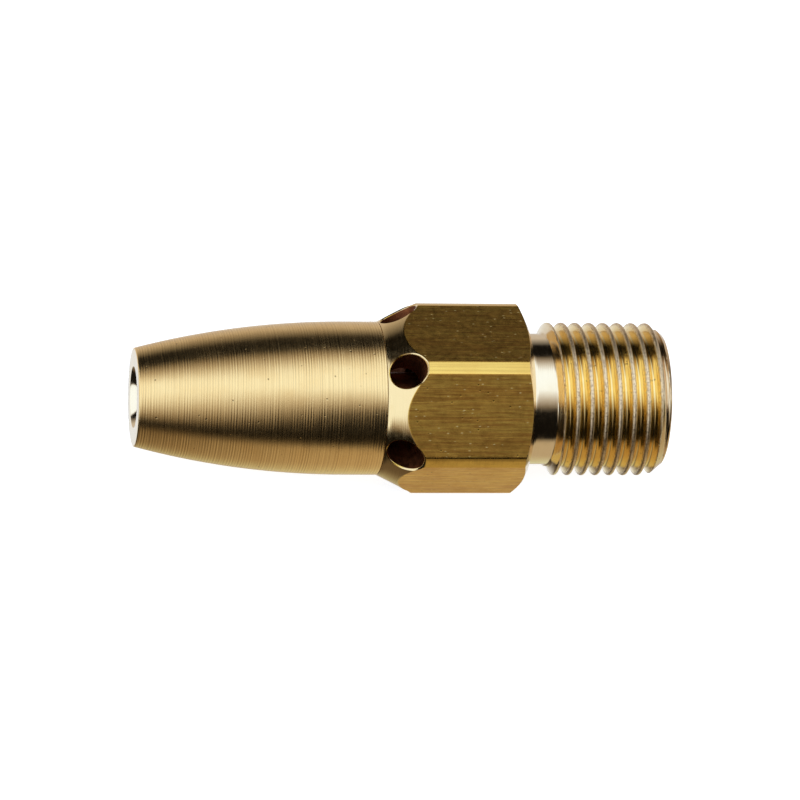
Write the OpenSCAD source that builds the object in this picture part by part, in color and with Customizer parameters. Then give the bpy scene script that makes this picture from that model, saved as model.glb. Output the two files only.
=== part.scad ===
// Air-entraining burner nozzle: a hexagon-bodied jet holder with a screwed-on
// mixing barrel. It screws into a burner's supply boss by its G 1/8 stud.
// Axis of the nozzle: X. Tip at -X, threaded stud at +X, one hexagon flat down.
// Origin: on the axis, in the plane of the sealing shoulder (hexagon rear face).
// All sizes are in millimetres.

/* [Hexagon] */
// Width across the flats of the drawn bar
hex_af = 10.9; // [10.7:0.05:11]
// Diameter that the hexagon's corners are turned down to
corner_d = 12.15; // [12:0.05:12.3]
// Where the full-diameter corners start, ahead of the shoulder
corner_x = -6.95; // [-7.4:0.05:-6.8]
// Diameter of the flat sealing face behind the hexagon
shoulder_d = 10; // [9.8:0.1:10.2]
// Angle of the rear chamfer from the sealing face, in degrees
rear_chamfer_deg = 26.5; // [20:0.5:30]

/* [Mixing barrel] */
// Outer diameter of the barrel's straight part
barrel_d = 9.71; // [9.6:0.01:9.8]
// Joint between the barrel and the shoulder cone
joint_x = -9.35; // [-9.7:0.05:-9.3]
// Where the straight part meets the bullet-shaped nose
nose_x = -11.4; // [-12:0.1:-11]
// Front end of the barrel
tip_x = -24.78; // [-25.5:0.02:-24.5]
// Radius of the nose's long curve
nose_curve_r = 52.3; // [50:0.1:60]
// Diameter of the open mouth at the front face
mouth_d = 3.9; // [3.6:0.02:4]
// Diameter of the throat behind the mouth
throat_d = 3; // [2.8:0.1:3.2]

/* [Air ports] */
// Number of round air ports, one at each corner of the hexagon
port_count = 6; // [6:6:6]
// Diameter of each air port
port_d = 2.16; // [2:0.02:2.3]
// Centre of the ring of ports
port_x = -8.12; // [-8.2:0.02:-8]

/* [Threaded stud] */
// Rear end of the stud
stud_end_x = 8.9; // [8.8:0.1:9.2]
// Outside diameter of the G 1/8 thread
thread_d = 9.728; // [9.6:0.002:9.728]
// Pitch of the G 1/8 thread
thread_pitch = 0.907; // [0.907:0.001:0.907]
// Depth of the G 1/8 thread
thread_depth = 0.581; // [0.5:0.001:0.581]
// Number of thread grooves
thread_turns = 7; // [6:1:7]
// Middle of the first thread groove
thread_start_x = 2.15; // [2.13:0.01:2.2]
// Diameter of the relief between shoulder and thread
neck_d = 8.33; // [8.1:0.01:8.4]
// Rear end of the relief
neck_end_x = 1.42; // [1.3:0.01:1.45]
// Diameter at the small end of the stud's end chamfer
stud_tip_d = 8.4; // [8:0.1:8.5]

/* [Bores] */
// Diameter of the suction chamber behind the barrel
chamber_d = 6; // [5.8:0.1:6]
// Rear end of the suction chamber
chamber_end_x = -4.5; // [-4.6:0.1:-4.2]
// Seat that the jet's flange is clamped against
jet_seat_x = -2.3; // [-2.4:0.1:-2.2]
// Diameter of the hole that the jet's stem passes through
stem_hole_d = 3.4; // [3.4:0.05:3.5]
// Diameter of the fuel bore behind the jet
fuel_bore_d = 5.8; // [5.8:0.05:5.9]
// Diameter of the counterbore for the strainer
strainer_bore_d = 6.6; // [6.6:0.05:6.7]
// Step that the strainer's washer rests on
strainer_seat_x = 6.3; // [6.2:0.1:6.3]

/* [Hidden] */

$fn = 96;
eps = 0.5;

// Clearances: around a piece that moves, between pieces that are clamped, and end gaps
running_gap = 0.04;
fixed_gap = 0.02;
face_gap = 0.02;

hex_corner_r = hex_af / 2 / cos(30);
corner_r = corner_d / 2;
shoulder_r = shoulder_d / 2;
rear_chamfer_h = (corner_r - shoulder_r) * tan(rear_chamfer_deg);
barrel_r = barrel_d / 2;
// The straight part loses this much radius toward the nose, as a turned land does
land_taper = 0.005;
edge_break = 0.08;

// The spigot carries the fine M8 thread that the barrel screws onto
spigot_r = 4;
spigot_len = 3.5;
spigot_end_x = joint_x - spigot_len;
seal_ring_t = 0.25;
seal_ring_r = spigot_r - 0.28;
barrel_floor_x = spigot_end_x - seal_ring_t - 2 * face_gap;
chamber_r = chamber_d / 2;

throat_r = throat_d / 2;
bell_r = chamber_r - throat_r;
throat_end_x = barrel_floor_x - bell_r - 1.8;
mouth_r = mouth_d / 2;
mouth_start_x = tip_x + 3.2;
// Countersink inside the mouth: how much it widens, and over what length
mouth_flare = 0.3;
mouth_flare_len = 0.45;
mouth_bore_r = mouth_r - mouth_flare;

thread_r = thread_d / 2;
thread_root_r = thread_r - thread_depth;
groove_floor_w = 0.14;
groove_mouth_w = groove_floor_w + 2 * thread_depth * tan(27.5);
neck_r = neck_d / 2;
neck_fillet = 0.25;
run_in_deg = 22;
thread_front_x = neck_end_x + (thread_r - neck_r) * tan(run_in_deg);
stud_chamfer_h = 0.8;
stud_chamfer_x = stud_end_x - stud_chamfer_h;

fuel_bore_r = fuel_bore_d / 2;
strainer_bore_r = strainer_bore_d / 2;
stem_hole_r = stem_hole_d / 2;
bore_break = 0.2;

// The jet: a flanged stem with the orifice disc, distributor and lock screw inside
washer_t = 0.3;
jet_flange_x = jet_seat_x + washer_t;
jet_flange_t = 1.1;
jet_rear_x = jet_flange_x + jet_flange_t;
jet_tip_x = -9.9;
stem_r = stem_hole_r - 0.04;
jet_bore_r = 1.2;
jet_lip_t = 0.4;
jet_lip_x = jet_tip_x + jet_lip_t;
jet_outlet_r = 0.75;
jet_point_r = 1;
jet_taper_len = 0.9;
insert_r = jet_bore_r - fixed_gap;
disc_t = 0.8;
disc_rear_x = jet_lip_x + disc_t;
orifice_r = 0.15;
swirl_r = 0.85;
swirl_depth = 0.5;
distributor_len = 2.9;
distributor_rear_x = disc_rear_x + distributor_len;
lock_screw_len = 2.2;

// The anti-drip valve: cage, spring, plunger with its seal, and seat ring
insert_gap = 0.04;
cage_r = fuel_bore_r - insert_gap;
cage_len = 3.4;
cage_wall = 0.6;
cage_rear_x = jet_rear_x + cage_len;
cage_bore_r = 1.5;
cage_hole_r = 0.5;
seat_lip_h = 0.15;
seat_t = 0.8;
seat_hole_r = 0.6;
seal_t = 0.33;
seal_r = 1;
seal_rear_x = cage_rear_x - seat_lip_h - face_gap;
seal_front_x = seal_rear_x - seal_t;
plunger_head_t = 0.7;
plunger_r = cage_bore_r - running_gap;
plunger_front_x = seal_front_x - plunger_head_t;
plunger_stem_r = 0.4;
plunger_stem_len = 0.8;
spring_front_x = jet_rear_x + cage_wall;
spring_len = plunger_front_x - spring_front_x;
spring_wire_r = 0.1;
spring_r = 0.75;
spring_turns = 5;
spring_steps = 24;
spring_sides = 8;

// The strainer: washer, frame, gauze sleeve and retaining ring
strainer_seal_t = 0.28;
strainer_flange_x = strainer_seat_x + face_gap + strainer_seal_t;
strainer_flange_t = 0.5;
strainer_flange_r = strainer_bore_r - 0.08;
strainer_cap_x = 3.55;
strainer_cap_t = 0.3;
strainer_cap_r = 2.4;
strainer_core_r = 2.18;
strainer_hole_r = 1.75;
strainer_collar_t = 0.5;
strainer_ribs = 6;
strainer_rib_w = 0.5;
gauze_t = 0.12;
gauze_r = strainer_core_r + fixed_gap + gauze_t;
retainer_x = strainer_flange_x + strainer_flange_t + face_gap;
retainer_t = 1.6;
retainer_r = strainer_bore_r - 0.05;
retainer_hole_r = 1.8;
driver_slot_w = 0.7;
driver_slot_h = 0.6;

// Turns local Z into the nozzle's axis
module along_x() {
    rotate([0, 90, 0]) children();
}

// A round solid from a closed outline of [radius, x] points
module turned(outline) {
    rotate_extrude() polygon(outline);
}

// A straight disc between two planes
module disc(x0, x1, r) {
    translate([0, 0, x0]) cylinder(h = x1 - x0, r = r);
}

// A flat ring between two planes
module ring(x0, x1, r_out, r_in) {
    difference() {
        disc(x0, x1, r_out);
        disc(x0 - eps, x1 + eps, r_in);
    }
}

// A slot right across a face, for a screwdriver or a pin key
module cross_slot(x0, x1, w, r) {
    translate([-w / 2, -r - eps, x0]) cube([w, 2 * (r + eps), x1 - x0]);
}

// Copies of its children, equally spaced round the axis
module around(count, first_deg = 0) {
    for (i = [0 : count - 1]) {
        rotate([0, 0, first_deg + i * 360 / count]) children();
    }
}

// Hexagon bar with the front cone, the turned corners and the rear chamfer
module hex_block() {
    intersection() {
        translate([0, 0, joint_x]) linear_extrude(-joint_x) {
            rotate(30) circle(r = hex_corner_r, $fn = 6);
        }
        turned([
            [0, joint_x], [barrel_r, joint_x], [corner_r, corner_x],
            [corner_r, -rear_chamfer_h], [shoulder_r, 0], [0, 0]
        ]);
    }
}

// Outline of one thread groove, with 55 degree flanks
module groove_outline(x) {
    polygon([
        [thread_root_r, x - groove_floor_w / 2],
        [thread_r + eps, x - groove_mouth_w / 2 - eps * tan(27.5)],
        [thread_r + eps, x + groove_mouth_w / 2 + eps * tan(27.5)],
        [thread_root_r, x + groove_floor_w / 2]
    ]);
}

// Fillet between the shoulder and the neck
module neck_fillet_outline() {
    difference() {
        translate([neck_r - eps, -eps]) square([neck_fillet + eps, neck_fillet + eps]);
        translate([neck_r + neck_fillet, neck_fillet]) circle(r = neck_fillet);
    }
}

// Relief neck and parallel thread, with its grooves as separate rings
module stud() {
    rotate_extrude() {
        difference() {
            polygon([
                [0, -eps], [neck_r, -eps], [neck_r, neck_end_x], [thread_r, thread_front_x],
                [thread_r, stud_chamfer_x], [stud_tip_d / 2, stud_end_x], [0, stud_end_x]
            ]);
            for (i = [0 : thread_turns - 1]) {
                groove_outline(thread_start_x + i * thread_pitch);
            }
        }
        neck_fillet_outline();
    }
}

// Front spigot that carries the barrel
module spigot() {
    turned([
        [0, spigot_end_x], [spigot_r - edge_break, spigot_end_x], [spigot_r, spigot_end_x + edge_break],
        [spigot_r, joint_x + eps], [0, joint_x + eps]
    ]);
}

// Suction chamber, stem hole, fuel bore and strainer counterbore
module body_bore() {
    turned([
        [0, spigot_end_x - eps], [chamber_r, spigot_end_x - eps], [chamber_r, chamber_end_x],
        [stem_hole_r, chamber_end_x], [stem_hole_r, jet_seat_x], [fuel_bore_r, jet_seat_x],
        [fuel_bore_r, strainer_seat_x], [strainer_bore_r, strainer_seat_x],
        [strainer_bore_r, stud_end_x - bore_break], [strainer_bore_r + bore_break, stud_end_x],
        [strainer_bore_r + bore_break, stud_end_x + eps], [0, stud_end_x + eps]
    ]);
}

// Radial air ports, one through each corner of the hexagon
module air_ports() {
    around(port_count, 30) {
        translate([0, 0, port_x]) rotate([0, 90, 0]) cylinder(h = hex_corner_r + eps, r = port_d / 2);
    }
}

module nozzle_body() {
    color("goldenrod") along_x() difference() {
        union() {
            hex_block();
            stud();
            spigot();
        }
        body_bore();
        air_ports();
    }
}

// Long curve of the bullet nose, cut square at the tip, and the straight part behind it
module barrel_outline() {
    intersection() {
        translate([barrel_r - land_taper - nose_curve_r, nose_x]) circle(r = nose_curve_r, $fn = 720);
        translate([0, tip_x]) square([barrel_r + eps, nose_x - tip_x]);
    }
    polygon([
        [0, nose_x - eps], [barrel_r - land_taper, nose_x - eps],
        [barrel_r, joint_x - face_gap], [0, joint_x - face_gap]
    ]);
}

// Bell mouth, throat and gently widening outlet
module barrel_passage() {
    difference() {
        polygon([
            [0, barrel_floor_x + eps], [chamber_r, barrel_floor_x + eps],
            [chamber_r, barrel_floor_x - bell_r], [throat_r, barrel_floor_x - bell_r],
            [throat_r, throat_end_x], [mouth_bore_r, mouth_start_x],
            [mouth_bore_r, tip_x + mouth_flare_len], [mouth_r, tip_x], [mouth_r, tip_x - eps], [0, tip_x - eps]
        ]);
        translate([throat_r + bell_r, barrel_floor_x - bell_r]) circle(r = bell_r);
    }
}

module mixing_barrel() {
    color("gold") along_x() rotate_extrude() difference() {
        barrel_outline();
        barrel_passage();
        translate([-eps, barrel_floor_x]) {
            square([spigot_r + running_gap + eps, joint_x - barrel_floor_x + eps]);
        }
    }
}

module barrel_seal_ring() {
    color("peru") along_x() {
        ring(barrel_floor_x + face_gap, spigot_end_x - face_gap, seal_ring_r, chamber_r + 0.05);
    }
}

module jet_seal_washer() {
    color("peru") along_x() ring(jet_seat_x, jet_flange_x, cage_r, stem_hole_r + 0.05);
}

// Flanged stem with a tapered front, bored from behind
module jet_body() {
    color("darkgoldenrod") along_x() difference() {
        turned([
            [0, jet_tip_x], [jet_point_r, jet_tip_x], [stem_r, jet_tip_x + jet_taper_len],
            [stem_r, jet_flange_x], [cage_r, jet_flange_x], [cage_r, jet_rear_x], [0, jet_rear_x]
        ]);
        disc(jet_tip_x - eps, jet_rear_x + eps, jet_outlet_r);
        disc(jet_lip_x, jet_rear_x + eps, jet_bore_r);
    }
}

// Steel disc with the swirl cone and the spray orifice
module orifice_disc() {
    color("silver") along_x() difference() {
        disc(jet_lip_x, disc_rear_x, insert_r);
        disc(jet_lip_x - eps, disc_rear_x + eps, orifice_r);
        translate([0, 0, disc_rear_x - swirl_depth]) {
            cylinder(h = swirl_depth, r1 = orifice_r, r2 = swirl_r);
        }
        disc(disc_rear_x, disc_rear_x + eps, swirl_r);
    }
}

// Plug whose slotted cone sets the oil spinning ahead of the orifice
module swirl_distributor() {
    cone_h = 0.3;
    groove_w = 0.4;
    groove_depth = 0.35;
    cone_tip_r = 0.3;
    slot_w = 0.2;
    slot_depth = 0.25;
    slot_start = 0.1;
    slot_offset = 0.35;
    color("silver") along_x() difference() {
        union() {
            disc(disc_rear_x, distributor_rear_x, insert_r);
            translate([0, 0, disc_rear_x - cone_h]) {
                cylinder(h = cone_h, r1 = cone_tip_r, r2 = swirl_r - 0.05);
            }
        }
        around(3) {
            translate([insert_r - groove_depth, -groove_w / 2, disc_rear_x + slot_depth]) {
                cube([insert_r, groove_w, distributor_len]);
            }
        }
        around(3) {
            translate([slot_start, slot_offset, disc_rear_x - eps]) {
                cube([insert_r, slot_w, slot_depth + eps]);
            }
        }
    }
}

// Hollow screw that presses the distributor against the orifice disc
module distributor_lock_screw() {
    rear_x = distributor_rear_x + lock_screw_len;
    screw_hole_r = 0.4;
    screw_slot_w = 0.4;
    feed_slot_w = 0.6;
    feed_slot_depth = 0.3;
    color("silver") along_x() difference() {
        ring(distributor_rear_x, rear_x, insert_r, screw_hole_r);
        cross_slot(rear_x - driver_slot_h, rear_x + eps, screw_slot_w, insert_r);
        cross_slot(distributor_rear_x - eps, distributor_rear_x + feed_slot_depth, feed_slot_w, insert_r);
    }
}

// Screwed cup that clamps the jet's flange and houses the anti-drip valve
module valve_cage() {
    color("darkgoldenrod") along_x() difference() {
        disc(jet_rear_x, cage_rear_x, cage_r);
        disc(spring_front_x, cage_rear_x + eps, cage_bore_r);
        disc(jet_rear_x - eps, cage_rear_x, cage_hole_r);
        cross_slot(cage_rear_x - driver_slot_h, cage_rear_x + eps, driver_slot_w, cage_r);
    }
}

// Height of the spring wire's centre after a number of turns, closer at both ends
function spring_rise(turns) =
    let (
        end_pitch = 2 * spring_wire_r + 0.01,
        middle = spring_len - 2 * spring_wire_r - 2 * end_pitch,
        inner = min(max(turns - 1, 0), spring_turns - 2)
    )
    end_pitch * (min(turns, 1) + max(turns - spring_turns + 1, 0)) + middle * inner / (spring_turns - 2);

// Point on the wire's skin: how far round the spring, then how far round the wire
function spring_point(turns, side_deg) =
    let (r = spring_r + spring_wire_r * cos(side_deg))
    [
        r * cos(360 * turns),
        r * sin(360 * turns),
        spring_front_x + spring_wire_r + spring_rise(turns) + spring_wire_r * sin(side_deg)
    ];

module valve_spring() {
    last = spring_turns * spring_steps;
    points = [
        for (i = [0 : last], k = [0 : spring_sides - 1])
            spring_point(i / spring_steps, k * 360 / spring_sides)
    ];
    walls = [
        for (i = [0 : last - 1], k = [0 : spring_sides - 1])
            let (
                a = i * spring_sides + k,
                b = i * spring_sides + (k + 1) % spring_sides
            )
            [a, b, b + spring_sides, a + spring_sides]
    ];
    front_cap = [[for (k = [spring_sides - 1 : -1 : 0]) k]];
    rear_cap = [[for (k = [0 : spring_sides - 1]) last * spring_sides + k]];
    color("silver") along_x() {
        polyhedron(points = points, faces = concat(walls, front_cap, rear_cap));
    }
}

// Fluted plunger that carries the seal, with a stem inside the spring
module valve_plunger() {
    rim_r = seal_r + 0.15;
    flute_r = 0.45;
    color("goldenrod") along_x() difference() {
        union() {
            disc(plunger_front_x, seal_front_x, plunger_r);
            disc(plunger_front_x - plunger_stem_len, plunger_front_x + fixed_gap, plunger_stem_r);
            ring(seal_front_x - fixed_gap, seal_front_x + seal_t / 2, rim_r, seal_r);
        }
        around(4) {
            translate([plunger_r + 0.15, 0, 0]) {
                disc(plunger_front_x - eps, seal_rear_x, flute_r);
            }
        }
    }
}

module valve_seal() {
    color("dimgray") along_x() disc(seal_front_x, seal_rear_x, seal_r);
}

// Screwed ring with a raised lip that the seal closes on
module valve_seat() {
    rear_x = cage_rear_x + seat_t;
    seat_slot_depth = 0.4;
    color("goldenrod") along_x() difference() {
        union() {
            disc(cage_rear_x, rear_x, cage_r);
            disc(cage_rear_x - seat_lip_h, cage_rear_x + fixed_gap, seat_hole_r + 0.2);
        }
        disc(cage_rear_x - eps, rear_x + eps, seat_hole_r);
        cross_slot(rear_x - seat_slot_depth, rear_x + eps, driver_slot_w, cage_r);
    }
}

module strainer_seal() {
    color("peru") along_x() {
        ring(strainer_seat_x + face_gap, strainer_flange_x, strainer_flange_r, strainer_cap_r + 0.05);
    }
}

// Flanged spool with ribs and an end cap, which holds the gauze open
module strainer_frame() {
    cap_end_x = strainer_cap_x + strainer_cap_t;
    color("goldenrod") along_x() {
        difference() {
            union() {
                disc(strainer_flange_x, strainer_flange_x + strainer_flange_t, strainer_flange_r);
                disc(strainer_flange_x - strainer_collar_t, strainer_flange_x + fixed_gap, strainer_cap_r);
                disc(strainer_cap_x, cap_end_x, strainer_cap_r);
                disc(strainer_cap_x + fixed_gap, strainer_flange_x, strainer_core_r);
            }
            disc(cap_end_x, strainer_flange_x + strainer_flange_t + eps, strainer_hole_r);
            around(strainer_ribs) {
                translate([0, -strainer_rib_w, cap_end_x + 0.2]) {
                    cube([
                        strainer_core_r + eps,
                        2 * strainer_rib_w,
                        strainer_flange_x - strainer_collar_t - cap_end_x - 0.4
                    ]);
                }
            }
        }
    }
}

module strainer_gauze() {
    color("lightsteelblue") along_x() {
        ring(
            strainer_cap_x + strainer_cap_t + fixed_gap,
            strainer_flange_x - strainer_collar_t - fixed_gap,
            gauze_r,
            gauze_r - gauze_t
        );
    }
}

module strainer_retainer() {
    rear_x = retainer_x + retainer_t;
    color("darkgoldenrod") along_x() difference() {
        turned([
            [retainer_hole_r, retainer_x], [retainer_r, retainer_x], [retainer_r, rear_x - edge_break],
            [retainer_r - edge_break, rear_x], [retainer_hole_r + bore_break, rear_x],
            [retainer_hole_r, rear_x - bore_break]
        ]);
        cross_slot(rear_x - driver_slot_h, rear_x + eps, driver_slot_w, retainer_r);
    }
}

nozzle_body();
mixing_barrel();
barrel_seal_ring();
jet_seal_washer();
jet_body();
orifice_disc();
swirl_distributor();
distributor_lock_screw();
valve_cage();
valve_spring();
valve_plunger();
valve_seal();
valve_seat();
strainer_seal();
strainer_frame();
strainer_gauze();
strainer_retainer();
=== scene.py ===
import math

import bpy
import numpy as np
from mathutils import Matrix, Vector


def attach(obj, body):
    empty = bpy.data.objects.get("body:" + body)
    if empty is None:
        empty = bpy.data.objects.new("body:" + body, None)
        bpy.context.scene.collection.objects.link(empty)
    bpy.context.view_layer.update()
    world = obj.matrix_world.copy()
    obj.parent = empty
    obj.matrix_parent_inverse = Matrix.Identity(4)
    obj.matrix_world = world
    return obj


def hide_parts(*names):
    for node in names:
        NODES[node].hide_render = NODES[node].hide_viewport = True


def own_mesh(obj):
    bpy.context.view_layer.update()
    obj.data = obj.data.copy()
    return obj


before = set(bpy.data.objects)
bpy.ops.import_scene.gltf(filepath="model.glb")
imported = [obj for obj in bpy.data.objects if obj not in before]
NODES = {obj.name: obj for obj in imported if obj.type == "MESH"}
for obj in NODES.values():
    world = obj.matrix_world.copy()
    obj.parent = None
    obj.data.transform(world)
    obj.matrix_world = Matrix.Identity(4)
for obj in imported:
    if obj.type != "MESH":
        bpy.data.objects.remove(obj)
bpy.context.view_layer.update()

MM = 0.001

# Sizes of the nozzle, in millimetres, as in the CAD frame: axis X, tip at -X, shoulder at x = 0
HEX_APOTHEM = 5.45
CORNER_R = 6.075
JOINT_X = -9.35
BARREL_R = 4.855
CONE_SLOPE = (CORNER_R - BARREL_R) / 2.4
TIP_X = -24.78
SHOULDER_R = 5.0
REAR_SLOPE = 1 / math.tan(math.radians(26.5))
PORT_X, PORT_R = -8.12, 1.08
CHAMBER_FLOOR, CHAMBER_R = -4.5, 3.0
SPIGOT_END, SPIGOT_R, SPIGOT_TIP_R = JOINT_X - 3.5, 4.0, 3.72
SPIGOT_NECK_R = 3.7
WEB_REAR, WEB_BORE_R = -2.3, 1.7
FEED_BORE_END, FEED_BORE_R = 6.3, 2.9
NECK_R, NECK_END = 4.165, 1.36
NECK_SLANT, NECK_SLANT_AT = 0.278, math.radians(168.3)
THREAD_R, PITCH, THREAD_DEPTH = 4.864, 0.907, 0.5808
THREAD_PHASE = 1.938
CHAMFER_X, STUD_END, STUD_TIP_R = 8.1, 8.9, 4.2
COUNTERBORE_R, COUNTERBORE_LIP_R, THREAD_RELIEF_R = 3.545, 3.62, 3.3
FINE_PITCH, FINE_DEPTH = 0.5, 0.27
NOSE_X, NOSE_CURVE_R = -11.4, 52.3
LAND_TAPER = 0.005
MOUTH_R, MOUTH_BORE_R, MOUTH_FLARE = 1.95, 1.65, 0.45
THROAT_R, BARREL_THREAD_R = 1.5, 4.04
BREAK = 0.03


# ---------------------------------------------------------------- mesh tools
def new_object(name, verts, faces):
    mesh = bpy.data.meshes.new(name)
    mesh.from_pydata(verts.tolist(), [], faces.tolist() if hasattr(faces, "tolist") else faces)
    mesh.update()
    obj = bpy.data.objects.new(name, mesh)
    bpy.context.scene.collection.objects.link(obj)
    return obj


def grid_faces(rows, cols, wrap_rows=True):
    i = np.arange(rows if wrap_rows else rows - 1)[:, None]
    j = np.arange(cols)[None, :]
    i2, j2 = (i + 1) % rows, (j + 1) % cols
    return np.stack([i * cols + j, i * cols + j2, i2 * cols + j2, i2 * cols + j], -1).reshape(-1, 4)


def turned_grid(name, x, r, theta):
    """A closed skin from rows of (x, r) points in mm: outside from front to rear, then inside back."""
    x, r = np.broadcast_arrays(x, r)
    rows, cols = x.shape
    verts = np.stack([x, r * np.cos(theta), r * np.sin(theta)], -1).reshape(-1, 3) * MM
    return new_object(name, verts, grid_faces(rows, cols))


def soft_min(a, b, k):
    """The smaller of two radii, blended over about k where they meet."""
    h = np.clip(0.5 + 0.5 * (b - a) / k, 0, 1)
    return b * (1 - h) + a * h - k * h * (1 - h)


def corner_rows(points):
    """Rows (x, r) along an open outline; a point's third number rounds it with that radius."""
    out = []
    for i, p in enumerate(points):
        x, r, fillet = (*p, 0.0)[:3]
        if fillet <= 0 or i in (0, len(points) - 1):
            out.append((x, r))
            continue
        here = np.array([x, r])
        a = np.array(points[i - 1][:2]) - here
        b = np.array(points[i + 1][:2]) - here
        a, b = a / np.linalg.norm(a), b / np.linalg.norm(b)
        half = math.acos(float(np.clip(a @ b, -1, 1))) / 2
        reach = fillet / math.tan(half)
        centre = here + (a + b) / np.linalg.norm(a + b) * fillet / math.sin(half)
        p0, p1 = here + a * reach - centre, here + b * reach - centre
        sweep = math.pi - 2 * half
        steps = max(2, int(math.ceil(math.degrees(sweep) / 22)))
        for k in range(steps + 1):
            t = k / steps
            v = (math.sin((1 - t) * sweep) * p0 + math.sin(t * sweep) * p1) / math.sin(sweep)
            out.append(tuple(centre + v))
    return out


def subdivide(rows, longest):
    """Adds rows so that no step is longer than this."""
    out = [rows[0]]
    for a, b in zip(rows, rows[1:]):
        n = max(1, int(math.ceil(math.dist(a, b) / longest)))
        out += [(a[0] + (b[0] - a[0]) * k / n, a[1] + (b[1] - a[1]) * k / n) for k in range(1, n + 1)]
    return out


def whitworth(x, theta, pitch, crest, depth, phase):
    """Radius of a right-hand thread with rounded crests and roots, at x and angle theta."""
    s = np.abs((x - phase - pitch * theta / (2 * math.pi) + pitch / 2) % pitch - pitch / 2)
    flank = math.radians(62.5)
    rad = 0.137329 * pitch
    cut = rad * math.sin(flank)
    root = crest - depth
    low = root + rad - np.sqrt(np.maximum(rad * rad - np.minimum(s, cut) ** 2, 0))
    top = pitch / 2 - s
    high = crest - rad + np.sqrt(np.maximum(rad * rad - np.minimum(top, cut) ** 2, 0))
    start = root + rad - rad * math.cos(flank)
    line = start + (s - cut) * math.tan(flank)
    return np.where(s < cut, low, np.where(top < cut, high, line))


def fine_thread(x, theta, crest, depth, phase=0.0):
    """Radius of a fine right-hand 0.5 mm thread with flat crests and softened edges."""
    s = np.abs((x - phase - FINE_PITCH * theta / (2 * math.pi)) % FINE_PITCH - FINE_PITCH / 2)
    t = np.clip((s - 0.045) / 0.15, 0, 1)
    t = t * t * (3 - 2 * t) * 0.35 + t * 0.65
    return crest - depth * (1 - t)


def shade(obj, angle=32):
    mesh = obj.data
    mesh.polygons.foreach_set("use_smooth", np.ones(len(mesh.polygons), bool))
    mesh.set_sharp_from_angle(angle=math.radians(angle))
    weighted = obj.modifiers.new("Weighted normals", "WEIGHTED_NORMAL")
    weighted.keep_sharp = True
    weighted.weight = 60


# ---------------------------------------------------------------- nozzle body
def sector_angles():
    """Angles for the hexagon body: even steps, with extra ones where the turned lands start."""
    land = math.degrees(math.acos(HEX_APOTHEM / CORNER_R))
    half = [0, 2.4, 4.8, 7.2, 9.6, 12, 14.4, 16.8, 19.2, 21.6, 23.6]
    half += [land - 1.1, land - 0.45, land, land + 0.45, land + 1.1, 28.6]
    sector = sorted({-d for d in half} | set(half))
    angles = []
    for flat in range(30, 390, 60):
        angles += [flat + d for d in sector] + [flat + 30]
    return np.radians(np.array(sorted(a % 360 for a in angles)))


def bar_radius(theta):
    """Radius of the hexagon bar with its corners turned round."""
    delta = (np.degrees(theta) % 60) - 30
    return soft_min(HEX_APOTHEM / np.cos(np.radians(delta)), np.full_like(theta, CORNER_R), 0.02)


def block_surface(x, theta):
    """Outer radius of the hexagon block with its front cone and rear chamfer."""
    bar = bar_radius(theta)
    cone = BARREL_R + (x - JOINT_X) * CONE_SLOPE
    rear = SHOULDER_R - x * REAR_SLOPE
    return soft_min(soft_min(cone, bar, 0.03), rear, 0.03)


def neck_end(theta):
    """Where the neck ends along X: the run-in to the thread is cut a little aslant."""
    return NECK_END + NECK_SLANT * np.cos(theta - NECK_SLANT_AT)


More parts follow.
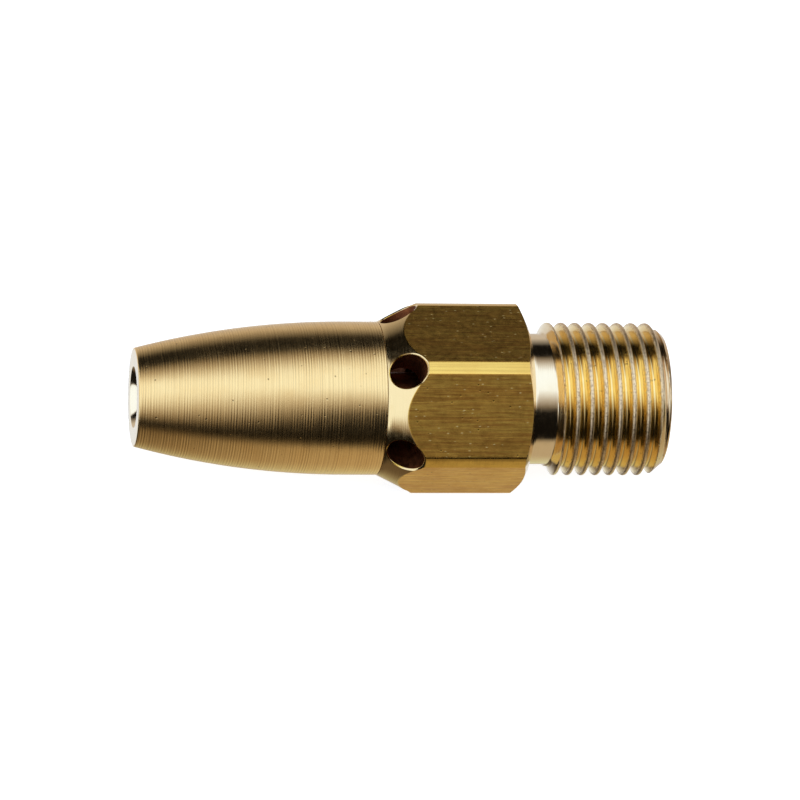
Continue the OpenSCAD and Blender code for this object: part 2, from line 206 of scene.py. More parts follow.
def body_grid():
    theta = sector_angles()
    n = len(theta)
    ones = np.ones(n)
    xs, rs = [], []

    def lathe(rows):
        for x, r in rows:
            xs.append(x * ones)
            rs.append(r * ones)

    # Spigot with its fine thread, from its front edge to the shoulder that the barrel meets
    lathe(corner_rows([(SPIGOT_END, 3.4), (SPIGOT_END, SPIGOT_TIP_R, BREAK),
                       (SPIGOT_END + 0.3, SPIGOT_R)])[:-1])
    for x in np.arange(SPIGOT_END + 0.06, JOINT_X - 0.42, FINE_PITCH / 12):
        lead = 3.74 + (x - SPIGOT_END)
        thread = fine_thread(x, theta, SPIGOT_R, FINE_DEPTH)
        xs.append(x * ones)
        rs.append(np.minimum(soft_min(thread, lead * ones, 0.02), SPIGOT_R))
    lathe(corner_rows([(JOINT_X - 0.36, 3.86), (JOINT_X - 0.3, SPIGOT_NECK_R, 0.04),
                       (JOINT_X, SPIGOT_NECK_R, 0.05), (JOINT_X, BARREL_R, 0.035),
                       (JOINT_X + 0.3, BARREL_R + 0.3 * CONE_SLOPE)]))
    # Cone, bar and rear chamfer follow the scalloped edges
    bar = bar_radius(theta)
    x_cone = JOINT_X + (bar - BARREL_R) / CONE_SLOPE
    x_rear = -(bar - SHOULDER_R) / REAR_SLOPE
    first = JOINT_X + 0.3
    for t in (0.25, 0.5, 0.75):
        x = first + (x_cone - 0.09 - first) * t
        xs.append(x)
        rs.append(block_surface(x, theta))
    for d in (-0.09, -0.045, -0.02, 0.0, 0.02, 0.045, 0.09):
        xs.append(x_cone + d)
        rs.append(block_surface(x_cone + d, theta))
    for t in np.linspace(0, 1, 14)[1:-1]:
        x = x_cone + 0.09 + (x_rear - 0.05 - x_cone - 0.09) * t
        xs.append(x)
        rs.append(block_surface(x, theta))
    for d in (-0.05, -0.025, -0.01, 0.0, 0.01, 0.025, 0.05):
        xs.append(x_rear + d)
        rs.append(block_surface(x_rear + d, theta))
    shoulder = [(-0.2, SHOULDER_R + 0.2 * REAR_SLOPE), (0, SHOULDER_R, BREAK),
                (0, NECK_R, 0.25), (NECK_END, NECK_R)]
    lathe(corner_rows(shoulder)[1:-1])
    lathe([(x, NECK_R) for x in (0.4, 0.7, 0.95)])
    # G 1/8 thread, whose run-in climbs steeply from the slanted end of the neck
    run_in = 1 / math.tan(math.radians(23))
    start = neck_end(theta)
    for x in np.concatenate([np.arange(1.05, CHAMFER_X - 0.1, PITCH / 24),
                             np.linspace(CHAMFER_X - 0.08, STUD_END - 0.05, 28)]):
        rise = np.logaddexp(0, (x - start) / 0.015) * 0.015 * run_in
        envelope = soft_min(THREAD_R * ones, NECK_R + rise, 0.05)
        end = THREAD_R - (x - CHAMFER_X) * (THREAD_R - STUD_TIP_R) / (STUD_END - CHAMFER_X)
        outline = soft_min(envelope, end * ones, BREAK)
        thread = whitworth(x, theta, PITCH, THREAD_R, THREAD_DEPTH, THREAD_PHASE)
        xs.append(x * ones)
        rs.append(soft_min(outline, thread, BREAK))
    # Rear face, then the counterbore with the retainer's fine thread
    lathe(corner_rows([(STUD_END - 0.04, STUD_TIP_R + 0.04), (STUD_END, STUD_TIP_R, BREAK),
                       (STUD_END, COUNTERBORE_LIP_R, BREAK), (STUD_END - 0.3, 3.32)])[1:-1])
    for x in np.arange(STUD_END - 0.06, 6.75, -FINE_PITCH / 11):
        lead = COUNTERBORE_LIP_R - (STUD_END - x)
        xs.append(x * ones)
        rs.append(np.maximum(fine_thread(x, theta, COUNTERBORE_R, FINE_DEPTH), lead))
    bore = corner_rows([(6.72, THREAD_RELIEF_R), (6.66, THREAD_RELIEF_R),
                        (FEED_BORE_END, THREAD_RELIEF_R, BREAK),
                        (FEED_BORE_END, FEED_BORE_R, 0.04), (WEB_REAR, FEED_BORE_R, 0.05),
                        (WEB_REAR, WEB_BORE_R, 0.05),
                        (CHAMBER_FLOOR, WEB_BORE_R, 0.06), (CHAMBER_FLOOR, CHAMBER_R, 0.15),
                        (SPIGOT_END, CHAMBER_R, 0.06), (SPIGOT_END, 3.4)])
    lathe(subdivide(bore, 1.2)[:-1])
    return turned_grid("nozzle_body_piece", np.array(xs), np.array(rs), theta[None, :])


def port_cutters():
    """One mesh of six round cutters whose rims flare to break the edge along the real surface."""
    sides, rim = 72, 0.16
    psi = np.linspace(0, 2 * math.pi, sides, endpoint=False)
    verts, faces = [], []
    for k in range(6):
        centre = k * math.pi / 3

        def height(rho):
            x, v = PORT_X + rho * np.cos(psi), rho * np.sin(psi)
            h = np.full(sides, 5.5)
            for _ in range(12):
                h = np.sqrt(np.maximum(block_surface(x, centre + np.arctan2(v, h)) ** 2 - v * v, 0.01))
            return h

        rings = [(PORT_R, np.full(sides, 2.5)), (PORT_R, np.full(sides, 3.4))]
        for t in (0, 22, 44, 62):
            a = math.radians(t)
            rho = PORT_R + rim * (1 - math.cos(a))
            rings.append((rho, height(rho) - rim * (1 - math.sin(a))))
        rho = PORT_R + rim * 1.3
        rings.append((rho, height(rho) + 0.12))
        rings.append((rho + 0.6, height(rho) + 1.4))
        base = len(verts)
        e_r = np.array([0, math.cos(centre), math.sin(centre)])
        e_t = np.array([0, -math.sin(centre), math.cos(centre)])
        for rho, h in rings:
            for j in range(sides):
                middle = np.array([PORT_X + rho * math.cos(psi[j]), 0, 0])
                verts.append((middle + e_t * rho * math.sin(psi[j]) + e_r * h[j]) * MM)
        m = len(rings)
        for i in range(m - 1):
            for j in range(sides):
                a, b = base + i * sides + j, base + i * sides + (j + 1) % sides
                faces.append([b, a, a + sides, b + sides])
        faces.append([base + j for j in range(sides)])
        faces.append([base + (m - 1) * sides + j for j in reversed(range(sides))])
    return new_object("port_cutters", np.array(verts), faces)


def cut_away(obj, cutter):
    """Cuts the closed shape of one object out of another and removes the cutter."""
    cut = obj.modifiers.new("Cut", "BOOLEAN")
    cut.operation = "DIFFERENCE"
    cut.solver = "MANIFOLD"
    cut.object = cutter
    graph = bpy.context.evaluated_depsgraph_get()
    mesh = bpy.data.meshes.new_from_object(obj.evaluated_get(graph))
    obj.modifiers.clear()
    old = obj.data
    obj.data = mesh
    bpy.data.meshes.remove(old)
    bpy.data.objects.remove(cutter)


# ---------------------------------------------------------------- mixing barrel
def barrel_outer_radius(x):
    """The nose's curve, then the nearly straight land, which repeats the CAD's taper to stay inside it."""
    front_r = BARREL_R - LAND_TAPER
    if x >= NOSE_X:
        return front_r + LAND_TAPER * (x - NOSE_X) / (JOINT_X - NOSE_X)
    return front_r - NOSE_CURVE_R + math.sqrt(NOSE_CURVE_R * NOSE_CURVE_R - (x - NOSE_X) ** 2)


def barrel_grid():
    theta = np.linspace(0, 2 * math.pi, 192, endpoint=False)
    ones = np.ones(len(theta))
    tip, rear, floor = TIP_X, JOINT_X - 0.02, SPIGOT_END - 0.29
    rows = []
    nose = [(x, barrel_outer_radius(x)) for x in np.linspace(tip + 0.16, NOSE_X, 70)]
    tip_edge = corner_rows([(tip, 2.3), (tip, barrel_outer_radius(tip), 0.1),
                            (tip + 0.3, barrel_outer_radius(tip + 0.3))])[1:-1]
    rows += tip_edge + nose
    land = [(x, barrel_outer_radius(x)) for x in (-11.2, -10.4)]
    rows += corner_rows(land + [(rear, BARREL_R, 0.045), (rear, 4.12, 0.02),
                                (rear - 0.1, BARREL_THREAD_R)])[:-1]
    xs, rs = [x * ones for x, _ in rows], [r * ones for _, r in rows]
    for x in np.arange(rear - 0.06, SPIGOT_END + 0.1, -FINE_PITCH / 12):
        lead = 4.13 - (rear - x)
        xs.append(x * ones)
        rs.append(np.maximum(fine_thread(x, theta, BARREL_THREAD_R, FINE_DEPTH), lead))
    # Floor, bell, throat and the mouth's countersink
    bell_r = 1.5
    bell = [(floor - bell_r + bell_r * math.cos(a), THROAT_R + bell_r - bell_r * math.sin(a))
            for a in np.radians(np.linspace(4, 90, 16))]
    inner = corner_rows([(SPIGOT_END, BARREL_THREAD_R), (floor, BARREL_THREAD_R, 0.05),
                         (floor, THROAT_R + bell_r, 0.05), bell[0]])[:-1] + bell
    inner += corner_rows([bell[-1], (floor - 3.3, THROAT_R, 1.5), (tip + 3.2, MOUTH_BORE_R, 1.5),
                          (tip + MOUTH_FLARE, MOUTH_BORE_R, 0.04), (tip, MOUTH_R, BREAK), (tip, 2.3)])[1:-1]
    inner = subdivide(inner, 0.9)
    xs += [x * ones for x, _ in inner]
    rs += [r * ones for _, r in inner]
    return turned_grid("mixing_barrel_piece", np.array(xs), np.array(rs), theta[None, :])


# ---------------------------------------------------------------- materials
class Nodes:
    """A small helper for node trees."""

    def __init__(self, tree):
        self.tree = tree

    def add(self, kind, inputs=None, **settings):
        node = self.tree.nodes.new(kind)
        for key, value in settings.items():
            setattr(node, key, value)
        for key, value in (inputs or {}).items():
            socket = node.inputs[key]
            if isinstance(value, bpy.types.NodeSocket):
                self.tree.links.new(value, socket)
            else:
                socket.default_value = value
        return node

    def math(self, operation, a, b=0.0, c=0.0, clamp=False):
        node = self.add("ShaderNodeMath", operation=operation, use_clamp=clamp)
        for i, value in enumerate((a, b, c)):
            if isinstance(value, bpy.types.NodeSocket):
                self.tree.links.new(value, node.inputs[i])
            else:
                node.inputs[i].default_value = value
        return node.outputs[0]

    def scaled(self, vector, scale):
        node = self.add("ShaderNodeVectorMath", operation="MULTIPLY")
        self.tree.links.new(vector, node.inputs[0])
        node.inputs[1].default_value = scale
        return node.outputs[0]

    def noise_x(self, x, scale, detail):
        """Noise that changes along X alone."""
        node = self.add("ShaderNodeTexNoise", {"Detail": detail, "Roughness": 0.6, "Scale": scale},
                        noise_dimensions="1D")
        self.tree.links.new(x, node.inputs["W"])
        return node.outputs["Fac"]

    def spots(self, vector, scale, size, threshold):
        """Scattered round spots, a share of the cells of a Voronoi pattern."""
        cells = self.add("ShaderNodeTexVoronoi", {"Vector": self.scaled(vector, (scale,) * 3), "Scale": 1.0})
        chance = self.add("ShaderNodeSeparateColor", {"Color": cells.outputs["Color"]}).outputs[0]
        spot = self.span(cells.outputs["Distance"], size * 0.6, size * 1.5, 1.0, 0.0)
        return self.math("MULTIPLY", spot, self.math("GREATER_THAN", chance, threshold))

    def noise(self, vector, scale, detail, roughness):
        """Noise with so many cells per metre along X, Y and Z."""
        node = self.add("ShaderNodeTexNoise", {"Vector": self.scaled(vector, scale), "Scale": 1.0,
                                               "Detail": detail, "Roughness": roughness})
        return node.outputs["Fac"]

    def span(self, value, low, high, to_low, to_high):
        node = self.add("ShaderNodeMapRange", {"Value": value, "From Min": low, "From Max": high,
                                               "To Min": to_low, "To Max": to_high})
        return node.outputs[0]

    def mix(self, factor, a, b):
        node = self.add("ShaderNodeMix", data_type="RGBA")
        for index, value in ((0, factor), (6, a), (7, b)):
            if isinstance(value, bpy.types.NodeSocket):
                self.tree.links.new(value, node.inputs[index])
            else:
                node.inputs[index].default_value = value
        return node.outputs[2]


def tint(colour, *factors):
    """A colour times one factor or three, kept within 1, with its alpha."""
    factors = factors if len(factors) == 3 else factors * 3
    return (*[min(1.0, c * f) for c, f in zip(colour, factors)], 1)


def finish(name, colour, stain, rough, rings=0.0, feed=0.18, lines=0.0, pits=0.0, specks=0.0, grain=0.0,
           metallic=1.0, worn=None, patch=0.25):
    """A finish with turned rings round X, lines along X, pits, bright specks and grain.

    rings, lines and grain scale heights in micrometres, and pits and specks are shares of their cells.
    feed is the tool's feed in mm, worn the radius in mm of the worn crests, patch the roughness's variation.
    """
    mat = bpy.data.materials.new(name)
    mat.use_nodes = True
    n = Nodes(mat.node_tree)
    n.tree.nodes.clear()
    out = n.add("ShaderNodeOutputMaterial")
    shader = n.add("ShaderNodeBsdfPrincipled", {"Metallic": metallic})
    n.tree.links.new(shader.outputs[0], out.inputs[0])
    where = n.add("ShaderNodeTexCoord").outputs["Object"]
    axes = n.add("ShaderNodeSeparateXYZ", {"Vector": where})
    x = axes.outputs["X"]
    broad = n.noise(where, (420,) * 3, 3.0, 0.6)
    base = n.mix(n.span(broad, 0.42, 0.68, 0.0, 1.0), (*colour, 1), (*stain, 1))
    fine = n.noise(where, (2600,) * 3, 3.0, 0.6)
    roughness = n.math("ADD", n.span(fine, 0.3, 0.7, rough * (1 - patch), rough * (1 + patch)),
                       n.span(broad, 0.3, 0.7, -0.02, 0.02))
    heights = []
    if rings > 0:
        # Feed marks of the turning tool, whose depth wanders, and random scratches round the piece
        feed_mark = n.math("SINE", n.math("MULTIPLY", x, 2 * math.pi / (feed * MM)))
        wander = n.span(n.noise_x(x, 1300, 2.0), 0.35, 0.65, 0.15, 1.5)
        scratch = n.noise_x(x, 9000, 3.0)
        slow = n.noise_x(x, 2300, 1.0)
        feed_mark = n.math("MULTIPLY", feed_mark, wander)
        heights.append(n.math("MULTIPLY", feed_mark, rings))
        heights.append(n.math("MULTIPLY", scratch, 4.2 * rings))
        heights.append(n.math("MULTIPLY", slow, 2.5 * rings))
        roughness = n.math("ADD", roughness, n.span(scratch, 0.3, 0.7, -0.03, 0.03))
        uneven = n.math("MULTIPLY_ADD", feed_mark, 0.09, scratch)
        base = n.mix(n.span(uneven, 0.33, 0.62, min(1.0, 0.24 * rings), 0.0), base, tint(stain, 0.62))
    if lines > 0:
        # Draw marks along the bar: broad bands, thin lines, and short dark and bright dashes
        wide = n.noise(where, (9, 1500, 1500), 2.0, 0.5)
        thin = n.noise(where, (45, 9000, 9000), 3.0, 0.7)
        dash = n.noise(where, (420, 9500, 9500), 4.0, 0.7)
        heights.append(n.math("MULTIPLY", wide, 3.0 * lines))
        heights.append(n.math("MULTIPLY", thin, 2.4 * lines))
        base = n.mix(n.span(thin, 0.36, 0.64, 0.6, 0.0), base, tint(stain, 0.6))
        base = n.mix(n.span(wide, 0.42, 0.62, 0.0, 0.25), base, tint(colour, 1.25))
        base = n.mix(n.span(dash, 0.38, 0.56, 0.6 * lines, 0.0), base, tint(stain, 0.62, 0.5, 0.55))
        base = n.mix(n.span(dash, 0.58, 0.74, 0.0, 0.35 * lines), base, tint(colour, 1.3, 1.35, 1.5))
    if specks > 0:
        spot = n.spots(n.scaled(where, (0.45, 1, 1)), 4400, 0.14, 1 - specks)
        base = n.mix(n.math("MULTIPLY", spot, 0.85), base, (1.0, 0.78, 0.33, 1))
        roughness = n.math("MULTIPLY_ADD", spot, 0.15, roughness)
        heights.append(n.math("MULTIPLY", spot, 1.2))
    if pits > 0:
        pit = n.spots(where, 1900, 0.09, 1 - pits)
        heights.append(n.math("MULTIPLY", pit, -9.0))
        base = n.mix(n.math("MULTIPLY", pit, 0.75), base, tint(stain, 0.2))
    if worn:
        # Rough, pale and mottled crests, with a ragged edge
        radius = n.math("SQRT", n.math("ADD", n.math("MULTIPLY", axes.outputs["Y"], axes.outputs["Y"]),
                                       n.math("MULTIPLY", axes.outputs["Z"], axes.outputs["Z"])))
        coarse = n.noise(where, (7000,) * 3, 3.0, 0.7)
        ragged = n.math("MULTIPLY_ADD", n.math("SUBTRACT", coarse, 0.5), 0.32 * MM, radius)
        crest = n.span(ragged, (worn - 0.20) * MM, (worn - 0.07) * MM, 0.0, 1.0)
        tone = n.mix(n.span(coarse, 0.49, 0.61, 0.0, 0.7), (0.87, 0.68, 0.43, 1), (0.30, 0.17, 0.08, 1))
        base = n.mix(n.math("MULTIPLY", crest, 0.9), base, tone)
        roughness = n.math("MULTIPLY_ADD", crest, 0.22, roughness)
        heights.append(n.math("MULTIPLY", n.math("MULTIPLY", coarse, crest), 26.0))
    if grain > 0:
        heights.append(n.math("MULTIPLY", n.noise(where, (13000,) * 3, 3.0, 0.7), grain))
    n.tree.links.new(base, shader.inputs["Base Color"])
    n.tree.links.new(n.math("MAXIMUM", roughness, 0.04), shader.inputs["Roughness"])
    height = heights[0]
    for extra in heights[1:]:
        height = n.math("ADD", height, extra)
    bump = n.add("ShaderNodeBump", {"Height": height, "Strength": 1.0, "Distance": 1e-6})
    n.tree.links.new(bump.outputs[0], shader.inputs["Normal"])
    return mat


MATERIALS = {
    "turned": finish("brass turned satin", (0.97, 0.70, 0.315), (0.94, 0.645, 0.27), 0.23,
                     rings=2.0, feed=0.17, pits=0.4, grain=1.0, patch=0.08),
    "polished": finish("brass polished", (0.89, 0.66, 0.32), (0.86, 0.62, 0.28), 0.15,
                       rings=0.35, feed=0.11, pits=0.12, grain=0.3),
    # Polished neck: real polish, with a paler, whiter base colour that is a painted highlight
    "neck": finish("brass polished neck painted highlight", (0.93, 0.79, 0.55), (0.91, 0.75, 0.49), 0.13,
                   rings=0.3, feed=0.13, grain=0.2),
    "land": finish("brass turned land", (0.94, 0.625, 0.15), (0.88, 0.545, 0.125), 0.19,
                   rings=0.35, feed=0.1, lines=0.25, grain=0.3),
    "flat": finish("brass drawn flat", (0.97, 0.56, 0.11), (0.88, 0.48, 0.085), 0.36,
                   lines=1.3, pits=0.45, specks=0.4, grain=1.6, patch=0.12),
    "thread": finish("brass thread", (0.95, 0.74, 0.34), (0.90, 0.66, 0.27), 0.13,
                     rings=0.2, feed=0.06, pits=0.7, grain=1.5, worn=THREAD_R),
    "chamfer": finish("brass thread end", (0.80, 0.62, 0.38), (0.66, 0.45, 0.24), 0.16,
                      rings=0.5, pits=0.5, grain=3.0),
    "bore": finish("brass bore", (0.84, 0.60, 0.28), (0.66, 0.42, 0.17), 0.27,
                   rings=0.8, feed=0.15, grain=1.0),
    # Ports, chamber and jet body: brass painted very dark red-brown, a painted shade for the inside of the
    # holes
    "port": finish("brass port wall painted shade", (0.26, 0.085, 0.03), (0.14, 0.045, 0.018), 0.5,
                   rings=0.3, grain=3.0),
    "inner": finish("brass inner parts", (0.55, 0.30, 0.10), (0.36, 0.18, 0.06), 0.34,
                    rings=0.7, feed=0.12, grain=1.2),
    "copper": finish("copper washer", (0.90, 0.47, 0.30), (0.62, 0.28, 0.17), 0.32,
                     rings=0.4, feed=0.1, pits=0.2, grain=2.0),
    "steel": finish("stainless ground", (0.60, 0.58, 0.55), (0.50, 0.48, 0.45), 0.26,
                    rings=0.6, feed=0.08, grain=0.8),
    "spring": finish("spring steel wire", (0.46, 0.45, 0.44), (0.34, 0.32, 0.30), 0.28,
                     lines=0.5, grain=0.6),
    "nitrile": finish("nitrile rubber", (0.022, 0.022, 0.024), (0.035, 0.034, 0.034), 0.55,
                      grain=3.5, metallic=0.0),
    "gauze": finish("stainless gauze wire", (0.62, 0.60, 0.57), (0.47, 0.44, 0.40), 0.24,
                    lines=0.4, grain=0.6),
}


def faces_of(mesh):
    """Centres in mm and normals of a mesh's faces."""
    count = len(mesh.polygons)
    centre, normal = np.empty(count * 3), np.empty(count * 3)
    mesh.polygons.foreach_get("center", centre)
    mesh.polygons.foreach_get("normal", normal)
    return centre.reshape(-1, 3) / MM, normal.reshape(-1, 3)


def paint(obj, names, index):
    obj.data.materials.clear()
    for key in names:
        obj.data.materials.append(MATERIALS[key])
    obj.data.polygons.foreach_set("material_index", index.astype(np.int32))
    obj.data.update()


BODY_LOOKS = ["polished", "land", "flat", "thread", "bore", "port", "neck", "chamfer"]
POLISHED, LAND, FLAT, THREAD, BORE, PORT_SHADE, NECK_HIGHLIGHT, CHAMFER = range(len(BODY_LOOKS))


def paint_body(obj):
    """Gives each face of the body its finish by where it lies, with painted shade in the ports and the
    chamber; what no rule names is polished.
    """
    centre, normal = faces_of(obj.data)
    x, y, z = centre.T
    r = np.hypot(y, z)
    theta = np.arctan2(z, y)
    radial = (normal[:, 1] * y + normal[:, 2] * z) / np.maximum(r, 1e-6)
    delta = np.abs((np.degrees(theta) % 60) - 30)
    index = np.full(len(x), POLISHED)
    index[(radial < -0.3) | (r < 3.65)] = BORE
    # The chamber walls get the ports' very dark colour, a painted shade
    index[(r < 3.1) & (x < -4.4)] = PORT_SHADE
    outer = (radial > 0) & (r > 3.65)
    on_block = outer & (x > JOINT_X) & (x < 0.02)
    distance = r * np.cos(np.radians(delta))
    flat = on_block & (np.abs(distance - HEX_APOTHEM) < 0.015) & (delta < 26.4) & (np.abs(normal[:, 0]) < 0.2)
    index[flat] = FLAT
    index[on_block & ~flat & (np.abs(normal[:, 0]) < 0.3)] = LAND
    first_crest = THREAD_PHASE - PITCH / 2 + PITCH * ((np.degrees(theta) + 60) % 360 - 60) / 360
    # The neck gets the paler colour, a painted highlight
    index[outer & (x > 0.02) & (x <= first_crest)] = NECK_HIGHLIGHT
    index[outer & (x > first_crest)] = THREAD
    index[outer & (x > CHAMFER_X + 0.12)] = CHAMFER
    index[outer & (x < JOINT_X - 0.05)] = THREAD
    spoke = np.round(np.degrees(theta) / 60) * 60
    across = r * np.sin(theta - np.radians(spoke))
    from_axis = np.hypot(x - PORT_X, across)
    # The port walls get the very dark colour, a painted shade
    index[(from_axis < PORT_R + 0.02) & (r > 2.6) & (r < 6.3) & (np.abs(radial) < 0.6)] = PORT_SHADE
    paint(obj, BODY_LOOKS, index)


# ---------------------------------------------------------------- small inner pieces
def tube(path, radius, sides, closed=False):
    """Vertices and faces of a round wire along a path of points in mm."""
    path = np.asarray(path, float)
    if closed:
        along = np.roll(path, -1, 0) - np.roll(path, 1, 0)
    else:
        along = np.gradient(path, axis=0)
    along /= np.linalg.norm(along, axis=1)[:, None]
    outward = path * (0, 1, 1)
    outward -= (outward * along).sum(1)[:, None] * along
    outward /= np.linalg.norm(outward, axis=1)[:, None]
    side = np.cross(along, outward)
    psi = np.linspace(0, 2 * math.pi, sides, endpoint=False)
    ring = np.cos(psi)[None, :, None] * outward[:, None, :] + np.sin(psi)[None, :, None] * side[:, None, :]
    verts = (path[:, None, :] + radius * ring).reshape(-1, 3)
    faces = grid_faces(len(path), sides, closed).tolist()
    if not closed:
        last = (len(path) - 1) * sides
        faces += [list(range(sides))[::-1], list(range(last, last + sides))]
    return verts, faces


def joined(name, parts):
    verts, faces, base = [], [], 0
    for part_verts, part_faces in parts:
        faces += [[i + base for i in face] for face in part_faces]
        base += len(part_verts)
        verts.append(part_verts)
    return new_object(name, np.concatenate(verts) * MM, faces)


def spring_piece():
    """Compression spring with closed ends, between the cage and the plunger."""
    front, length, wire, radius, turns = -0.3, 1.6, 0.1, 0.75, 5
    end_pitch = 2 * wire + 0.01
    middle = length - 2 * wire - 2 * end_pitch
    path = []
    for t in np.linspace(0, turns, turns * 40 + 1):
        closed_turns = min(t, 1) + max(t - turns + 1, 0)
        open_share = min(max(t - 1, 0), turns - 2) / (turns - 2)
        rise = end_pitch * closed_turns + middle * open_share
        a = 2 * math.pi * t
        path.append((front + wire + rise, radius * math.cos(a), radius * math.sin(a)))
    return joined("valve_spring_piece", [tube(path, wire, 12)])


def gauze_piece():
    """Plain-woven wire sleeve: 40 wires along the axis and 13 round it."""
    x0, x1, radius, wire, lift = 3.9, 6.05, 2.26, 0.026, 0.029
    lengthwise, hoops = 40, 13
    step = (x1 - x0 - 0.08) / (hoops - 1)
    first = x0 + 0.04
    parts = []
    for i in range(lengthwise):
        a, sign = 2 * math.pi * i / lengthwise, (-1) ** i
        xs = np.linspace(x0, x1, 6 * hoops)
        r = radius - lift * sign * np.cos(math.pi * (xs - first) / step)
        parts.append(tube(np.stack([xs, r * math.cos(a), r * math.sin(a)], 1), wire, 6))
    for j in range(hoops):
        a = np.linspace(0, 2 * math.pi, lengthwise * 5, endpoint=False)
        r = radius + lift * (-1) ** j * np.cos(lengthwise * a / 2)
        hoop = np.stack([np.full_like(a, first + j * step), r * np.cos(a), r * np.sin(a)], 1)
        parts.append(tube(hoop, wire, 6, closed=True))
    return joined("strainer_gauze_piece", parts)


def retainer_piece():
    """Ring screw with a fine male thread and a screwdriver slot across its rear face."""
    front, rear, hole, crest, face_r = 7.12, 8.72, 1.8, 3.5, 3.19
    theta = np.linspace(0, 2 * math.pi, 144, endpoint=False)
    ones = np.ones(len(theta))
    rows = corner_rows([(front, 1.9), (front, hole, BREAK), (rear - 0.2, hole, 0.02),
                        (rear, hole + 0.2, 0.02), (rear, face_r, 0.04),
                        (rear - 0.1, face_r + BREAK)])[:-1]
    xs, rs = [x * ones for x, _ in rows], [r * ones for _, r in rows]
    for x in np.arange(rear - 0.06, front + 0.05, -FINE_PITCH / 12):
        lead = face_r + BREAK + min(rear - x, x - front)
        xs.append(x * ones)
        rs.append(np.minimum(soft_min(fine_thread(x, theta, crest, FINE_DEPTH), lead * ones, 0.02), crest))
    rows = corner_rows([(front + 0.1, face_r + BREAK), (front, face_r, 0.04), (front, 2.5)])[1:]
    xs += [x * ones for x, _ in rows]
    rs += [r * ones for _, r in rows]
    # The rows run from the bore outward, so they are turned round for turned_grid
    piece = turned_grid("strainer_retainer_piece", np.array(xs)[::-1], np.array(rs)[::-1], theta[None, :])
    # Blunt-edged slot, cut with a bar that flares at the face
    half, floor_x, flare, reach = 0.35, rear - 0.6, 0.05, 4.2
    outline = [(floor_x, -half + BREAK), (floor_x + BREAK, -half), (rear - flare, -half),
               (rear, -half - flare), (rear + 0.3, -half - flare - 0.3)]
    outline += [(px, -py) for px, py in reversed(outline)]
    verts = np.array([(px, along, py) for along in (-reach, reach) for px, py in outline]) * MM
    m = len(outline)
    faces = [[i, m + i, m + (i + 1) % m, (i + 1) % m] for i in range(m)]
    faces += [list(range(m)), list(range(m, 2 * m))[::-1]]
    cut_away(piece, new_object("slot_cutter", verts, faces))
    return piece


# ---------------------------------------------------------------- build
body = body_grid()
cut_away(body, port_cutters())
paint_body(body)
shade(body)
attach(body, "jet_holder")
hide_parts("nozzle_body")

barrel = barrel_grid()
centre, normal = faces_of(barrel.data)
outward = (normal[:, 1:] * centre[:, 1:]).sum(1)
inside = (np.hypot(centre[:, 1], centre[:, 2]) < 1.6) | (outward < -0.5) | (centre[:, 0] > JOINT_X - 0.1)
mouth = (centre[:, 0] < TIP_X + 0.47) & (np.hypot(centre[:, 1], centre[:, 2]) < 3.0)
# The mouth gets the neck's paler colour, a painted highlight
paint(barrel, ["turned", "bore", "neck"], np.where(mouth, 2, np.where(inside, 1, 0)))
shade(barrel)
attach(barrel, "barrel")
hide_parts("mixing_barrel")

SMALL = [
    (spring_piece(), "jet_holder", "valve_spring", "spring_steel", "spring"),
    (gauze_piece(), "strainer", "strainer_gauze", "gauze", "gauze"),
    (retainer_piece(), "retainer", "strainer_retainer", "brass_inner", "inner"),
]
for piece, rides_on, node_name, slot_name, look in SMALL:
    paint(piece, [look], np.zeros(len(piece.data.polygons)))
    shade(piece)
    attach(piece, rides_on)
    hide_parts(node_name)
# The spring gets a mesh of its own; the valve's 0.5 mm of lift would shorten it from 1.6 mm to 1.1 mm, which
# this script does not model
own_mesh(SMALL[0][0])

# The other CAD nodes keep their shape, with softened edges and their own finish; the jet body takes the
# ports' painted shade
LOOKS = {
    "copper": ("barrel_seal_ring", "jet_seal_washer", "strainer_seal"),
    # The jet body inside the chamber gets the ports' very dark colour, a painted shade
    "port": ("jet_body",),
    "inner": ("valve_cage", "valve_plunger", "valve_seat", "strainer_frame"),
    "steel": ("orifice_disc", "swirl_distributor", "distributor_lock_screw"),
    "nitrile": ("valve_seal",),
}
for look, names in LOOKS.items():
    for name in names:
        node = NODES[name]
        for slot in node.material_slots:
            slot.material = MATERIALS[look]
        weld = node.modifiers.new("Weld", "WELD")
        weld.merge_threshold = 1e-7
        bevel = node.modifiers.new("Bevel", "BEVEL")
        bevel.width = BREAK * MM
        bevel.segments = 2
        bevel.limit_method = "ANGLE"
        bevel.angle_limit = math.radians(40)
        bevel.harden_normals = False
        weighted = node.modifiers.new("Weighted normals", "WEIGHTED_NORMAL")
        weighted.keep_sharp = True

# ---------------------------------------------------------------- floor, world, camera
FLOOR_GAP, FLOOR_HALF = 0.02, 900
floor_z = -HEX_APOTHEM - FLOOR_GAP
corners = [(sx * FLOOR_HALF, sy * FLOOR_HALF, floor_z) for sx, sy in ((-1, -1), (1, -1), (1, 1), (-1, 1))]
floor = new_object("floor", np.array(corners) * MM, [[0, 1, 2, 3]])
floor_mat = bpy.data.materials.new("floor paper")
floor_mat.use_nodes = True
n = Nodes(floor_mat.node_tree)
n.tree.nodes.clear()
paper = n.add("ShaderNodeBsdfDiffuse", {"Color": (0.6, 0.6, 0.6, 1)})
glow = n.add("ShaderNodeEmission", {"Color": (1, 1, 1, 1), "Strength": 0.88})
both = n.add("ShaderNodeAddShader")
n.tree.links.new(paper.outputs[0], both.inputs[0])
n.tree.links.new(glow.outputs[0], both.inputs[1])
n.tree.links.new(both.outputs[0], n.add("ShaderNodeOutputMaterial").inputs[0])
floor.data.materials.append(floor_mat)
floor.visible_glossy = False

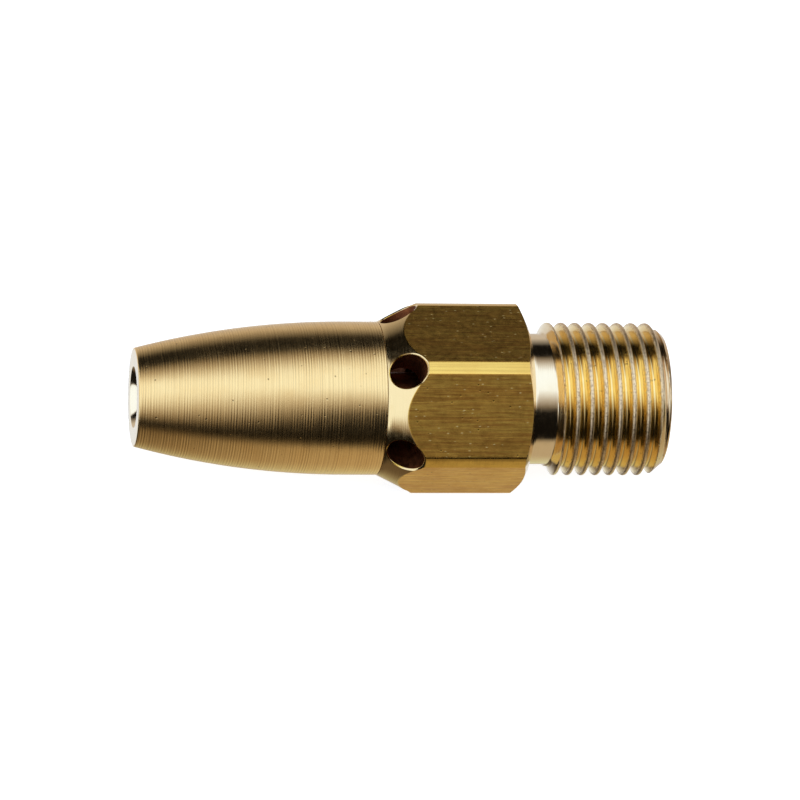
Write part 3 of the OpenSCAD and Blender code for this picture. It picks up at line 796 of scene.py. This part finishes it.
world = bpy.data.worlds.new("studio")
bpy.context.scene.world = world
world.use_nodes = True
n = Nodes(world.node_tree)
n.tree.nodes.clear()
direction = n.add("ShaderNodeTexCoord").outputs["Generated"]
axes = n.add("ShaderNodeSeparateXYZ", {"Vector": direction})
lift = n.math("ARCTAN2", axes.outputs["Z"], n.math("MULTIPLY", axes.outputs["Y"], -1.0))
lift = n.math("MULTIPLY", lift, 180 / math.pi)
lift = n.math("WRAP", lift, 240, -120)
side_x = n.math("MULTIPLY_ADD", axes.outputs["X"], 0.5, 0.5)
BLACK, DARK, SHADE = (0.006, 0.005, 0.004), (0.012, 0.010, 0.008), (0.14, 0.105, 0.07)
CARD, WARM, BEIGE = (1.08, 1.25, 1.54), (1.06, 0.80, 0.52), (0.52, 0.42, 0.29)
GREY, PALE, FLOOR = (0.61, 0.55, 0.50), (0.85, 0.88, 0.92), (0.69, 0.68, 0.46)
RAMP_AT = (-0.78, -0.66, -0.22, 0.19, 0.5, 0.8, 1.0)


def edge(starts, ends):
    """0 to 1 across an edge of a light; its start and end angles, in degrees of lift, change along X."""
    widest = 200.0
    places = []
    for angles in (starts, ends):
        curve = n.add("ShaderNodeValToRGB", {"Fac": side_x})
        stops = curve.color_ramp.elements
        while len(stops) < len(RAMP_AT):
            stops.new(0.5)
        for stop, at, angle in zip(stops, RAMP_AT, angles):
            stop.position = at / 2 + 0.5
            value = angle / (2 * widest) + 0.5
            stop.color = (value, value, value, 1)
        places.append(n.math("MULTIPLY_ADD", curve.outputs["Color"], 2 * widest, -widest))
    return n.span(lift, *places, 0.0, 1.0)


# What lies below: pale under the stud, darker toward the tip
low = n.mix(n.span(lift, -112, -78, 0.0, 1.0), (*FLOOR, 1), (*BEIGE, 1))
low = n.mix(n.span(axes.outputs["X"], -0.27, 0.15, 0.0, 1.0), (*SHADE, 1), low)
low = n.mix(n.span(axes.outputs["X"], -0.48, -0.35, 0.0, 1.0), (*DARK, 1), low)
# The card overhead with its warm soft edges, a dark gap, then a grey and a pale wall behind
card_on = edge((-36, -16, -16, 22, 20, 16, 16), (-28, 15, 54, 58, 42, 34, 34))
card_off = edge((145, 82, 68, 92, 118, 120, 144), (165, 107, 117, 122, 132, 134, 152))
card = n.math("MULTIPLY", card_on, n.math("SUBTRACT", 1.0, card_off))
sky = n.mix(edge((-40, -40, -42, -41, -66, -66, -84), (-22, -22, -24, -31, -54, -54, -72)), low, (*BLACK, 1))
sky = n.mix(card, sky, n.mix(card, (*WARM, 1), (*CARD, 1)))
sky = n.mix(edge((150, 150, 143, 149, 150, 150, 158), (178, 176, 182, 174, 182, 182, 182)), sky, (*GREY, 1))
sky = n.mix(edge((198,) * 7, (212,) * 7), sky, (*PALE, 1))
sky = n.mix(edge((228,) * 7, (240,) * 7), sky, low)
camera_ray = n.add("ShaderNodeLightPath").outputs["Is Camera Ray"]
sky = n.mix(camera_ray, sky, (1, 1, 1, 1))
background = n.add("ShaderNodeBackground", {"Color": sky, "Strength": 1.0})
n.tree.links.new(background.outputs[0], n.add("ShaderNodeOutputWorld").inputs[0])

scene = bpy.context.scene
scene.view_settings.view_transform = "Standard"
azimuth, elevation, roll = math.radians(9.6), math.radians(41.6), math.radians(0.22)
distance = 319.0
back = Vector((-math.sin(azimuth), -math.cos(azimuth) * math.cos(elevation),
               math.cos(azimuth) * math.sin(elevation)))
right = (Vector((1, 0, 0)) - back * back.x).normalized()
up = back.cross(right)
right, up = right * math.cos(roll) + up * math.sin(roll), up * math.cos(roll) - right * math.sin(roll)
target = Vector((-7.81, 0, 0)) - up * 0.111
camera_data = bpy.data.cameras.new("camera")
camera_data.lens = 226.7
camera_data.clip_start, camera_data.clip_end = 0.01, 10
camera = bpy.data.objects.new("camera", camera_data)
scene.collection.objects.link(camera)
turned = Matrix((right, up, back)).transposed().to_4x4()
camera.matrix_world = Matrix.Translation((target + back * distance) * MM) @ turned
scene.camera = camera
